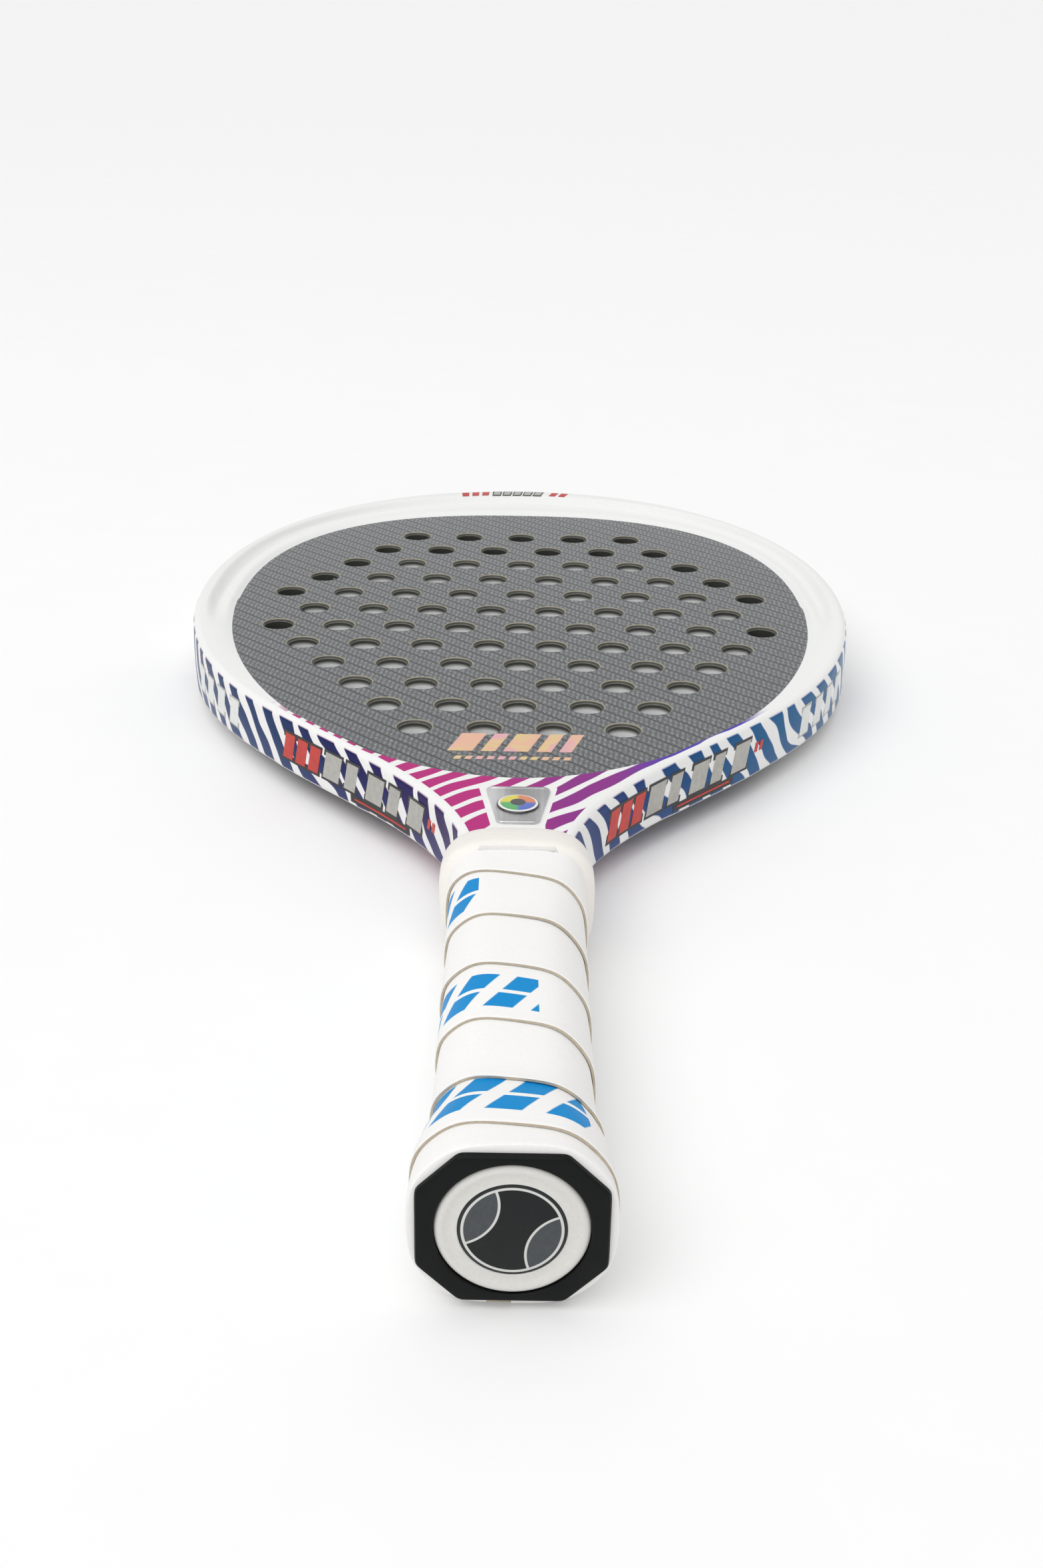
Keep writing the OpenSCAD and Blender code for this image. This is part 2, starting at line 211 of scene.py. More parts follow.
GAPS = gaps_to_sheet()
TUBE_W = mix(LEG_WIDTH, TUBE_WIDTH, smooth(OUTLINE[:, 1], 130, 185))
TUBE_W = np.where(OUTLINE[:, 1] < WIDEST_Y, TUBE_W, np.maximum(TUBE_W, GAPS + LEDGE))
RIM_W = np.clip(GAPS, RIM_MIN, TUBE_W - LEDGE)
RIM_LOOP = OUTLINE + RIM_W[:, None] * INWARD
JOIN = int(np.argmax(GAPS <= TUBE_W - LEDGE))    # first station whose rim follows the sheet


def throat_arc(count):
    """The sheet's lower edge between the two places where it meets the rim, left to right."""
    corner = RIM_LOOP[JOIN]
    x = np.linspace(-corner[0], corner[0], count)
    reach = SHEET_WIDEST_Y - SHEET_LOW[1]
    y = SHEET_WIDEST_Y - reach * (1 - np.abs(x / SHEET_HALF) ** SHEET_LOW_POWER) ** (1 / SHEET_LOW_POWER)
    y += corner[1] - y[-1]
    return np.stack([x, y], axis=1)


def sheet_edge():
    """Closed edge of the carbon sheet, counter-clockwise seen from the front."""
    last = len(OUTLINE) - 1 - JOIN
    return np.concatenate([RIM_LOOP[JOIN:last + 1], throat_arc(41)[1:-1]])


def hole_centres():
    step = HOLE_PITCH * math.sin(math.radians(60))
    return [((i - (count - 1) / 2) * HOLE_PITCH, FIRST_ROW_Y + row * step)
            for row, count in enumerate(ROW_COUNTS) for i in range(count)]


# ---------------- meshes

def linked(name, data):
    """A new object in the scene."""
    made = bpy.data.objects.new(name, data)
    bpy.context.scene.collection.objects.link(made)
    return made


def mesh(name, points, faces, uv=None, sharp=35, material_of=None):
    """A new object from points in millimetres. uv gives one pair per point."""
    data = bpy.data.meshes.new(name)
    data.from_pydata([tuple(p) for p in np.asarray(points, float) * MM], [], faces)
    if uv is not None:
        layer = data.uv_layers.new(name="wrap")
        corner = np.empty(len(data.loops), dtype=np.int32)
        data.loops.foreach_get("vertex_index", corner)
        layer.data.foreach_set("uv", np.asarray(uv, np.float32)[corner].ravel())
    data.polygons.foreach_set("use_smooth", [True] * len(data.polygons))
    data.set_sharp_from_angle(angle=math.radians(sharp))
    if material_of is not None:
        data.polygons.foreach_set("material_index", material_of)
    data.update()
    return linked(name, data)


def grid_faces(rows, columns, closed_rows=False, closed_columns=False, start=0):
    """Quads over a grid of points, rows one after the other."""
    faces = []
    for r in range(rows if closed_rows else rows - 1):
        for c in range(columns if closed_columns else columns - 1):
            r2, c2 = (r + 1) % rows, (c + 1) % columns
            faces.append((start + r * columns + c, start + r * columns + c2,
                          start + r2 * columns + c2, start + r2 * columns + c))
    return faces


def band_faces(first, second, count):
    """Quads between two closed rings of points."""
    return [(first + k, first + (k + 1) % count, second + (k + 1) % count, second + k) for k in range(count)]


def piece(obj, node, slot, *materials):
    """Gives a piece its materials, puts it under the root body and hides the CAD node it replaces. slot is
    not used.
    """
    for material in materials:
        obj.data.materials.append(material)
    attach(obj, "root")
    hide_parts(node)
    return obj


def about_y(radius, angle, height):
    return (radius * math.cos(angle), height, radius * math.sin(angle))


def rings_mesh(name, rings, sharp=35):
    """A closed skin through rings of equally many points. A ring may be a single point."""
    count = max(len(ring) for ring in rings)
    points, rows = [], []
    for ring in rings:
        start = len(points)
        points += [tuple(p) for p in ring]
        rows.append([start + (k if len(ring) > 1 else 0) for k in range(count)])
    faces = []
    for first, second in zip(rows, rows[1:]):
        for k in range(count):
            n = (k + 1) % count
            faces.append(tuple(dict.fromkeys([first[k], first[n], second[n], second[k]])))
    return outward(mesh(name, points, faces, sharp=sharp))


def outward(obj):
    """Turns every face of a closed mesh outward."""
    shape = bmesh.new()
    shape.from_mesh(obj.data)
    bmesh.ops.recalc_face_normals(shape, faces=shape.faces)
    shape.to_mesh(obj.data)
    shape.free()
    return obj


def lathe(name, profile, turn=about_y, count=128, sharp=35):
    """A solid turned about an axis. profile is (radius, height), from the axis to the axis."""
    angles = full_turn(count)
    rings = [[turn(radius, a, height) for a in (angles if radius else angles[:1])]
             for radius, height in profile]
    return rings_mesh(name, rings, sharp)


def film(name, layers, surface):
    """Thin prisms laid on a surface. A layer is (shapes, rise, thickness, material index), and
    surface(u, v) gives (point, normal) for a flat shape's u and v."""
    points, faces, material_of = [], [], []
    for shapes, rise, thickness, index in layers:
        for shape in shapes:
            start, n = len(points), len(shape)
            for lift in (rise, rise + thickness):
                for u, v in shape:
                    p, normal = surface(u, v)
                    points.append(np.asarray(p) + lift * np.asarray(normal))
            faces.append(tuple(start + k for k in range(n))[::-1])
            faces.append(tuple(start + n + k for k in range(n)))
            faces += band_faces(start, start + n, n)
            material_of += [index] * (n + 2)
    return outward(mesh(name, points, faces, sharp=30, material_of=material_of))


# ---------------- node materials

class Value:
    """What a node puts out, so that node sums read like sums. a | b is the larger, a & b
    the smaller."""

    def __init__(self, paint, socket):
        self.paint = paint
        self.socket = socket

    def __rsub__(self, other):
        return self.paint.math("SUBTRACT", other, self)


def node_operator(kind):
    def apply(self, *other):
        return self.paint.math(kind, self, *other)
    return apply


for _sign, _kind in {"add": "ADD", "sub": "SUBTRACT", "mul": "MULTIPLY", "truediv": "DIVIDE",
                     "pow": "POWER", "or": "MAXIMUM", "and": "MINIMUM", "abs": "ABSOLUTE",
                     "gt": "GREATER_THAN", "lt": "LESS_THAN"}.items():
    setattr(Value, f"__{_sign}__", node_operator(_kind))


class Paint:
    """A node material, with short calls for the nodes used here."""

    def __init__(self, name, **sockets):
        self.material = bpy.data.materials.new(name)
        self.material.use_nodes = True
        self.tree = self.material.node_tree
        self.shader = self.tree.nodes["Principled BSDF"]
        for socket, value in sockets.items():
            self.shader.inputs[socket.replace("_", " ")].default_value = value
        self.place = Value(self, self.node("ShaderNodeTexCoord").outputs["Object"])

    def node(self, kind, **settings):
        made = self.tree.nodes.new(kind)
        for key, value in settings.items():
            setattr(made, key, value)
        return made

    def feed(self, socket, value):
        if isinstance(value, Value):
            self.tree.links.new(value.socket, socket)
        else:
            socket.default_value = value

    def made(self, kind, *values, **settings):
        """What a new node puts out. values go to its first inputs."""
        node = self.node(kind, **settings)
        for socket, value in zip(node.inputs, values):
            self.feed(socket, value)
        return Value(self, node.outputs[0])

    def math(self, operation, *values, clamp=False):
        return self.made("ShaderNodeMath", *values, operation=operation, use_clamp=clamp)

    def vector(self, x, y, z=0.0):
        return self.made("ShaderNodeCombineXYZ", x, y, z)

    def xyz(self, vector=None):
        made = self.node("ShaderNodeSeparateXYZ")
        self.feed(made.inputs[0], vector or self.place)
        return [Value(self, socket) for socket in made.outputs]

    def ramp(self, value, low, high, to_low=0.0, to_high=1.0, soft=False):
        kind = "SMOOTHSTEP" if soft else "LINEAR"
        return self.made("ShaderNodeMapRange", value, low, high, to_low, to_high, interpolation_type=kind)

    def blend(self, factor, a, b, kind="MIX"):
        made = self.node("ShaderNodeMix", data_type="RGBA", blend_type=kind)
        for socket, value in ((0, factor), (6, a), (7, b)):
            self.feed(made.inputs[socket], value)
        return Value(self, made.outputs[2])

    def noise(self, scale, detail=2.0, vector=None, roughness=0.5):
        made = self.node("ShaderNodeTexNoise")
        given = {"Vector": vector or self.place, "Scale": scale, "Detail": detail, "Roughness": roughness}
        for socket, value in given.items():
            self.feed(made.inputs[socket], value)
        return Value(self, made.outputs["Fac"])

    def bump(self, *layers):
        """Each layer is (height, distance in metres); they add up."""
        normal = None
        for height, distance in layers:
            made = self.node("ShaderNodeBump")
            made.inputs["Distance"].default_value = distance
            self.feed(made.inputs["Height"], height)
            if normal is not None:
                self.feed(made.inputs["Normal"], normal)
            normal = Value(self, made.outputs[0])
        self.feed(self.shader.inputs["Normal"], normal)

    def wrap(self):
        """The two wrap coordinates that mesh() was given."""
        return self.xyz(Value(self, self.node("ShaderNodeUVMap", uv_map="wrap").outputs[0]))[:2]

    def wobble(self, scale, size, vector=None):
        """Noise round zero, as long from end to end as size."""
        return (self.noise(scale, 1, vector) - 0.5) * size

    def distance(self, u, v):
        return self.math("SQRT", u * u + v * v)

    def ramp_mm(self, value, low, high, to_low=0.0, to_high=1.0, soft=False):
        return self.ramp(value, low * MM, high * MM, to_low, to_high, soft)

    def colour(self, value):
        self.feed(self.shader.inputs["Base Color"], value)

    def rough(self, value):
        self.feed(self.shader.inputs["Roughness"], value)

    def uneven(self, scale, low, high, detail=2.0):
        """Roughness that wanders between low and high."""
        self.rough(self.ramp(self.noise(scale, detail), 0.3, 0.7, low, high))


def rgb(red, green, blue):
    """A colour given as screen values from 0 to 255."""
    def linear(c):
        c /= 255
        return c / 12.92 if c <= 0.04045 else ((c + 0.055) / 1.055) ** 2.4
    return (linear(red), linear(green), linear(blue), 1.0)


WHITE = rgb(240, 240, 239)


def speckled(paint, base, scale=900, amount=0.04):
    """base with a little fine and coarse variation, so that no surface is one flat colour."""
    fine = paint.ramp(paint.noise(scale, 3), 0.3, 0.7, 1 - amount, 1 + amount)
    broad = paint.ramp(paint.noise(25, 2), 0.3, 0.7, 1 - amount / 2, 1 + amount / 2)
    level = fine * broad
    return paint.blend(1.0, base, paint.vector(level, level, level), "MULTIPLY")


def stripe(paint, position, period, duty, softness=0.04):
    """1 inside each stripe of a repeating pattern, 0 between them."""
    phase = paint.math("FRACT", position / period)
    rise = paint.ramp(phase, 0.0, softness)
    fall = paint.ramp(phase, duty, duty + softness, 1.0, 0.0)
    return rise * fall


def throat_stripes(paint):
    """Colour and mask of the slanting magenta stripes on the flat of the throat."""
    x, y = paint.xyz()[:2]
    warp = paint.wobble(34, 9 * MM)
    lean = math.radians(47)
    across = y * math.cos(lean) - x * math.sin(lean) + warp
    duty = paint.ramp(paint.noise(40, 1), 0.35, 0.65, 0.52, 0.70)
    mask = stripe(paint, across, THROAT_PERIOD * MM, duty)
    magenta, purple, violet = rgb(184, 36, 122), rgb(138, 40, 134), rgb(76, 56, 170)
    hue = paint.blend(paint.ramp_mm(x, -12, 16, soft=True), magenta, purple)
    hue = paint.blend(paint.ramp_mm(x, 24, 46, soft=True), hue, violet)
    mask = mask * paint.ramp_mm(y, 226, 238, 1.0, 0.0)
    # plain margin round the badge
    half = paint.ramp(y, PLATE_LOW[1] * MM, PLATE_HIGH[1] * MM, 7.2 * MM, 10.6 * MM)
    beside = abs(x) > half
    beyond = y > (PLATE_HIGH[1] + 1.5) * MM
    return (hue, mask * (beside | beyond))


def lacquer(name, printed_wall):
    """White lacquer. The frame's own wall also has leaning blue and violet stripes."""
    paint = Paint(name, Roughness=0.3, Specular_IOR_Level=0.12, Coat_Weight=0.04, Coat_Roughness=0.1)
    hue, mask = throat_stripes(paint)
    if printed_wall:
        travel, zone = paint.wrap()
        zone = abs(zone)
        wall_hue, wall_mask = wall_stripes(paint, zone, travel)
        mask = mask * (zone > FLAT_ZONE) | wall_mask
        hue = paint.blend(wall_mask, hue, wall_hue)
    paint.colour(paint.blend(mask, speckled(paint, WHITE, amount=0.015), hue))
    paint.uneven(40, 0.28, 0.33, 1)
    return paint.material


def wall_stripes(paint, zone, travel):
    """Colour and mask of the print on the side walls. zone is 0 mid-wall, 1 at its edge."""
    x, y, z = paint.xyz()
    broad = paint.wobble(30, 20 * MM)
    fine = paint.wobble(110, 5 * MM, paint.vector(x, y * 0.6, z * 0.55))
    across = travel + z * 0.8 + (broad + fine)
    duty = paint.ramp(paint.noise(55, 1), 0.32, 0.68, 0.46, 0.72)
    duty = duty * paint.ramp_mm(y, 316, 350, 1.0, 0.0)
    mask = stripe(paint, across, WALL_PERIOD * MM, duty) * (duty > 0.05)
    mask = mask * paint.ramp(zone, 1.12, 1.2, 1.0, 0.0)
    left = paint.blend(paint.ramp_mm(x, -88, -45, soft=True), rgb(0, 50, 98), rgb(12, 16, 84))
    left = paint.blend(paint.ramp_mm(x, -46, -20, soft=True), left, rgb(36, 6, 84))
    right = paint.blend(paint.ramp_mm(x, 20, 80, soft=True), rgb(0, 48, 112), rgb(0, 90, 140))
    hue = paint.blend(x > 0.0, left, right)
    low = paint.ramp_mm(z, 4, -8, 0.0, 0.3, soft=True)
    return paint.blend(low, hue, rgb(90, 104, 146)), mask


def carbon():
    """Coarse dark twill in 45 degree bands, under a resin coat with a fine grit."""
    paint = Paint("carbon_weave", Roughness=0.45, Coat_Weight=0.9, Coat_Roughness=0.24)
    x, y = paint.xyz()[:2]
    turned = math.sqrt(0.5)
    across = (x + y) * turned
    run = (x - y) * turned
    wave = paint.wobble(60, 0.5 * MM)
    steps = (across + wave) / (BAND * MM)
    place = abs(paint.math("FRACT", steps) - 0.5)
    middle = paint.ramp(place, 0.02, 0.10, 0.5, 0.0, soft=True)
    groove = paint.ramp(place, 0.37, 0.45, soft=True) | middle
    # the beads of one band lie half a bead on from those of the next
    phase = run / (BEAD * MM) + steps * 2.0 + paint.math("FLOOR", steps) * 0.5
    beads = paint.math("SINE", phase * (2 * math.pi))
    weave = paint.ramp(beads, -1.5, 1.3)
    grit = paint.ramp(paint.noise(1500, 2, roughness=0.75), 0.34, 0.66)
    level = (weave + 0.15) * (grit + 0.12)
    level = paint.math("MULTIPLY", level, 1.0 - groove, clamp=True)
    paint.colour(paint.blend(level, rgb(22, 25, 27), rgb(138, 142, 146)))
    paint.rough(paint.ramp(level, 0.0, 1.0, 0.6, 0.34))
    paint.bump((weave - groove, 0.00014), (grit, 0.00006))
    return paint.material


def cut_edge():
    """Bevel round a hole: resin-pale at the face, dark where it meets the hole. That dark is partly the
    carbon's own colour and partly painted shade in the mouth of the hole.
    """
    paint = Paint("hole_bevel", Roughness=0.4)
    depth = abs(paint.xyz()[2])
    pale = paint.ramp_mm(depth, FACE_Z - 0.32, FACE_Z - 0.12, soft=True)
    # dark near the hole: partly the carbon's colour, partly painted shade
    paint.colour(paint.blend(pale, rgb(52, 51, 46), speckled(paint, rgb(158, 152, 132), 1500, 0.1)))
    return paint.material


def tape():
    """White tacky tape: faint pores and creases, blue bars printed on every other turn."""
    paint = Paint("overgrip_tape", Roughness=0.62, Specular_IOR_Level=0.12, Sheen_Weight=0.04,
                  Sheen_Roughness=0.5)
    run, wide = paint.wrap()
    mask = 0.0
    for start, length in TAPE_PRINTS:
        mask = (run > start) * (run < start + length) | mask
    bars = stripe(paint, run + wide * 0.55, 0.0105, 0.62, 0.03)
    low, middle, high, gap = 0.0045, 0.0112, 0.0182, 0.0007       # across the tape, in metres
    mask = mask * bars * ((wide > low) * (wide < high) * (abs(wide - middle) > gap))
    white = speckled(paint, rgb(246, 245, 243), 1400, 0.015)
    paint.colour(paint.blend(mask, white, speckled(paint, rgb(0, 140, 208), 1800, 0.04)))
    paint.rough(paint.blend(mask, (0.64, 0.64, 0.64, 1), (0.48, 0.48, 0.48, 1)))
    paint.bump((paint.noise(120, 3), 0.00018), (paint.noise(2600, roughness=0.6), 0.00004))
    return paint.material


def plain(name, colour, roughness, bump_scale, bump_depth, amount=0.05, **sockets):
    """A moulded or foamed surface: slightly uneven colour and a fine texture."""
    paint = Paint(name, **sockets)
    paint.colour(speckled(paint, colour, bump_scale, amount))
    paint.uneven(bump_scale / 6, roughness - 0.06, roughness + 0.06, 3)
    paint.bump((paint.noise(bump_scale, 3, roughness=0.6), bump_depth))
    return paint.material


def core_foam():
    """Pale foam. It is painted dark near the faces, as painted shade on the upper part of each hole wall,
    and painted dark in the outermost holes, as painted shade where little light reaches them.
    """
    paint = Paint("eva_foam", Roughness=0.55)
    x, y, z = paint.xyz()
    # painted shade: darker near the faces, on the upper part of each hole wall
    skin = paint.ramp_mm(abs(z), 6.0, 7.7, soft=True)
    # painted shade: the holes nearest the sides and the far end are painted dark all through
    across = abs(x / (76 * MM)) ** 4.0
    up = ((y - 300 * MM) / (88 * MM) | 0.0) ** 4.0
    dark = skin | paint.ramp(across + up, 0.95, 1.0)
    pale = speckled(paint, rgb(247, 248, 247), 1800, 0.03)
    paint.colour(paint.blend(dark, pale, speckled(paint, rgb(62, 62, 57), 1500, 0.15)))
    paint.uneven(400, 0.5, 0.62)
    paint.bump((paint.noise(2200, 2), 0.0001))
    return paint.material


def rubber_collar():
    """Soft white rubber with fine stretch lines round it."""
    paint = Paint("collar_rubber", Roughness=0.5, Sheen_Weight=0.15)
    x, y, z = paint.xyz()
    lines = paint.noise(220, 3, paint.vector(x * 0.15, y * 7.0, z * 0.15))
    paint.colour(speckled(paint, rgb(243, 239, 233), 700, 0.015))
    paint.rough(paint.ramp(lines, 0.35, 0.65, 0.44, 0.56))
    paint.bump((lines, 0.00012), (paint.noise(900, 2), 0.00002))
    return paint.material


def brushed(name, colour, roughness=0.3):
    """Brushed metal, with the brush marks along Y."""
    paint = Paint(name, Metallic=0.8, Anisotropic=0.5)
    x, y, z = paint.xyz()
    marks = paint.noise(900, 3, paint.vector(x, y * 0.03, z))
    broad = paint.noise(70, 2, paint.vector(x, y * 0.2, z))
    level = marks * 0.15 + broad * 0.85
    paint.colour(paint.blend(paint.ramp(level, 0.35, 0.65, soft=True),
                             rgb(*[c * 0.72 for c in colour]), rgb(*colour)))
    paint.rough(paint.ramp(marks, 0.3, 0.7, roughness - 0.06, roughness + 0.08))
    paint.bump((marks, 0.00001))
    return paint.material


def butt_print():
    """Dark round badge: a pale ring, and two pale arcs like the seam of a ball."""
    paint = Paint("butt_badge_print", Roughness=0.3, Specular_IOR_Level=0.25)
    x, _, z = paint.xyz()

    def distance(cx, cz):
        return paint.distance(x - cx * MM, z - cz * MM)

    def line(centre, radius, half):
        off = abs(distance(*centre) - radius * MM)
        return paint.ramp_mm(off, half, half + 0.06, 1.0, 0.0)

    inside = paint.ramp_mm(distance(0, 0), 9.2, 9.25, 1.0, 0.0)
    left, right, reach = (-11.5, 5.5), (11.5, -5.5), 9.0
    arcs = line(left, reach, 0.22) | line(right, reach, 0.22)
    pale = line((0, 0), 9.35, 0.24) | arcs * inside
    wing = (distance(*left) & distance(*right)) < reach * MM
    dark = paint.blend(wing, rgb(22, 24, 25), rgb(74, 78, 82))
    dark = paint.blend(inside, rgb(40, 43, 45), dark)
    paint.colour(paint.blend(pale, speckled(paint, dark, 1200, 0.08), rgb(214, 214, 210)))
    paint.uneven(300, 0.24, 0.38)
    paint.bump((pale, 0.00005), (paint.noise(1200, 2), 0.00001))
    return paint.material


def dome_print(centre):
    """Clear dome over a ring of four soft colours and a dark middle."""
    paint = Paint("dome_print", Roughness=0.12, Coat_Weight=1.0, Coat_Roughness=0.03)
    x, y = paint.xyz()[:2]
    dx, dy = x - centre[0] * MM, y - centre[1] * MM
    radius = paint.distance(dx, dy)
    right, upper = [paint.ramp_mm(d, -0.7, 0.7, soft=True) for d in (dx, dy)]
    top = paint.blend(right, rgb(226, 214, 30), rgb(224, 120, 50))
    low = paint.blend(right, rgb(70, 172, 90), rgb(66, 96, 190))
    hue = paint.blend(upper, low, top)
    hue = paint.blend(paint.ramp_mm(radius, 2.0, 2.1, 1.0, 0.0), hue, rgb(20, 20, 22))
    hue = paint.blend(paint.ramp_mm(radius, 4.7, 4.8), hue, rgb(240, 240, 238))
    paint.colour(paint.blend(paint.ramp_mm(radius, 5.3, 5.4), hue, rgb(26, 26, 28)))
    paint.uneven(200, 0.08, 0.16)
    paint.bump((paint.noise(60, 1), 0.00001))
    return paint.material


def foil():
    """Rose-gold hot foil whose tint drifts a little, as an iridescent foil does."""
    paint = Paint("rose_foil", Metallic=0.35, Roughness=0.34)
    drift = paint.ramp(paint.noise(160, 2), 0.35, 0.65, soft=True)
    gold = paint.blend(drift, rgb(248, 196, 168), rgb(240, 214, 150))
    pink = paint.ramp(paint.noise(90, 2), 0.5, 0.62, soft=True)
    paint.colour(paint.blend(pink, gold, rgb(244, 186, 190)))
    paint.uneven(900, 0.28, 0.42)
    paint.bump((paint.noise(1500, 2, roughness=0.7), 0.00005))
    return paint.material


# ---------------- frame, covers and faces

def crest_over_face(y):
    return CREST * smooth(y, 235, 350)


def rim_shape(y, s):
    """Height of the rim's top over the face, at a share s of the way in from the outer edge."""
    tip = smooth(y, 340, TIP_Y)
    channel = smooth(y, 296, 330)
    round_top = 1 - s ** 2.6
    side = [(0, 1), (0.3, 1), (0.58, 0.12), (0.82, 0.36), (1, 0)]
    end = [(0, 1), (0.28, 1), (0.43, 0.16), (0.6, 0.2), (0.8, 0.3), (1, 0)]
    scooped = mix(through(side, s), through(end, s), tip)
    return crest_over_face(y) * mix(round_top, scooped, channel)


WALL_STEPS = 9
CORNER_STEPS = 8
TOP_STEPS = 26


def wall_inset(z, top):
    """How far the slightly crowned side wall lies inside the outline, at height z."""
    return 0.35 * (z / top) ** 2


def half_profile(k):
    """Upper half of the frame's section at station k: (inset, height, zone) rows.
    The zone is 0 at mid-wall, 1 where the edge rounding starts and 1.5 where it ends."""
    y, w = OUTLINE[k, 1], RIM_W[k]
    skin = mix(FACE_Z - SKIN, FACE_Z, smooth(y, 131, 135))
    top = skin + crest_over_face(y)
    r = min(EDGE_R, 0.6 * w)
    rows = []
    for z in np.linspace(0, top - r, WALL_STEPS):
        rows.append((wall_inset(z, top), z, z / (top - r)))
    start = wall_inset(top - r, top)
    for a in np.linspace(0, math.pi / 2, CORNER_STEPS)[1:]:
        rows.append((start + r * (1 - math.cos(a)), top - r + r * math.sin(a), 1 + a / math.pi))
    for s in np.linspace((start + r) / w, 1, TOP_STEPS)[1:]:
        rows.append((s * w, skin + rim_shape(y, s), 1.5 + s))
    rows.append((w, FACE_Z - SKIN - 0.02, 2.7))
    rows.append((TUBE_W[k], FACE_Z - SKIN - 0.02, 2.8))
    return np.array(rows)


def hollow_profile(k, count):
    """Upper half of the hollow inside the tube, with as many rows."""
    wall = 1.5
    half = (TUBE_W[k] - 2 * wall) / 2
    a = np.linspace(math.pi, 0, count)
    u = wall + half + half * np.sign(np.cos(a)) * np.abs(np.cos(a)) ** 0.6
    z = (FACE_Z - SKIN - wall) * np.abs(np.sin(a)) ** 0.45
    return np.stack([u, np.maximum(z, 0), np.full(count, 2.9)], axis=1)


def frame_shell():
    """The lacquered hairpin tube: a hollow section swept round the outline."""
    rows = len(half_profile(0))
    points, uv = [], []
    for outside in (True, False):
        for k in range(len(OUTLINE)):
            half = half_profile(k) if outside else hollow_profile(k, rows)
            both = np.concatenate([half, (half * [1, -1, -1])[-1:0:-1]])
            spot = OUTLINE[k] + both[:, :1] * INWARD[k]
            points.append(np.column_stack([spot, both[:, 1]]))
            uv.append(np.column_stack([np.full(len(both), TRAVEL[k] * MM), both[:, 2]]))
    stations, n = len(OUTLINE), len(points[0])
    faces = grid_faces(stations, n, closed_columns=True)
    inner = stations * n
    faces += [face[::-1] for face in grid_faces(stations, n, closed_columns=True, start=inner)]
    for edge in (0, (stations - 1) * n):
        faces += band_faces(edge, inner + edge, n)
    return outward(mesh("frame_shell", np.concatenate(points), faces, uv=np.concatenate(uv), sharp=50))


def plate(name, loop, holes, top, bottom, flip):
    """A flat sheet with round holes that are bevelled at its face. flip mirrors it to the back."""
    count = 40
    angles = full_turn(count)
    circle = np.stack([np.cos(angles), np.sin(angles)], axis=1)
    centres = np.reshape(holes, (-1, 2))
    flat = np.concatenate([loop] + [centre + BEVEL_R * circle for centre in centres])
    loops = [list(range(len(loop)))]
    loops += [list(range(start, start + count)) for start in range(len(loop), len(flat), count)]
    edges = [(ring[k], ring[(k + 1) % len(ring)]) for ring in loops for k in range(len(ring))]
    found = delaunay_2d_cdt([Vector(p) for p in flat], edges, [], 1, 1e-5)
    corners = np.array([tuple(p) for p in found[0]])
    triangles = [tri for tri in found[2] if keeps(corners[list(tri)], centres)]
    narrow = corners.copy()
    for centre in centres:
        arm = corners - centre
        reach = np.linalg.norm(arm, axis=1)
        rim = np.abs(reach - BEVEL_R) < 0.01
        narrow[rim] = centre + arm[rim] * (HOLE_R / BEVEL_R)
    n = len(corners)
    side = -1 if flip else 1
    levels = [(corners, top), (narrow, top - BEVEL_DEPTH), (narrow, bottom)]
    points = np.concatenate([np.column_stack([xy, np.full(n, side * z)]) for xy, z in levels])
    faces = [tuple(tri) for tri in triangles] + [tuple(2 * n + c for c in tri) for tri in triangles]
    material_of = [0] * len(faces)
    index = {given: k for k, merged in enumerate(found[3]) for given in merged}
    for number, ring in enumerate(loops):
        ids = [index[k] for k in ring]
        for k, a in enumerate(ids):
            b = ids[(k + 1) % len(ids)]
            faces += [(a, b, n + b, n + a), (n + a, n + b, 2 * n + b, 2 * n + a)]
            material_of += [1 if number else 0, 0]
    sheet = mesh(name, points, faces, sharp=20, material_of=material_of)
    flat_count = 2 * len(triangles)
    sheet.data.polygons.foreach_set("use_smooth", [k >= flat_count for k in range(len(faces))])
    return outward(sheet)


def keeps(triangle, centres):
    """True unless the triangle lies in a hole."""
    if len(centres) == 0:
        return True
    middle = triangle.mean(axis=0)
    return np.linalg.norm(centres - middle, axis=1).min() > BEVEL_R - 0.05


def cover_loop():
    """Edge of the throat cover: up the right rim, along the sheet's arc and down the left."""
    first = int(np.argmax(OUTLINE[:, 1] >= COVER_LOW[1]))
    last = len(OUTLINE) - 1
    right = RIM_LOOP[first:JOIN]
    left = RIM_LOOP[last - JOIN + 1:last - first + 1]
    return np.concatenate([right, throat_arc(41)[::-1], left])


# ---------------- handle

def octagon_reach(angle, half_w, half_h, sharpness=11, corner=None):
    """Distance from the axis to a soft-cornered octagon, at an angle up from +X."""
    cut = (CAP_CORNER if corner is None else corner) * half_w
    x, z = np.cos(angle), np.sin(angle)
    slant = half_w + half_h - cut
    sides = [np.abs(x) / half_w, np.abs(z) / half_h, (np.abs(x) + np.abs(z)) / slant]
    return sum(side ** sharpness for side in sides) ** (-1 / sharpness)


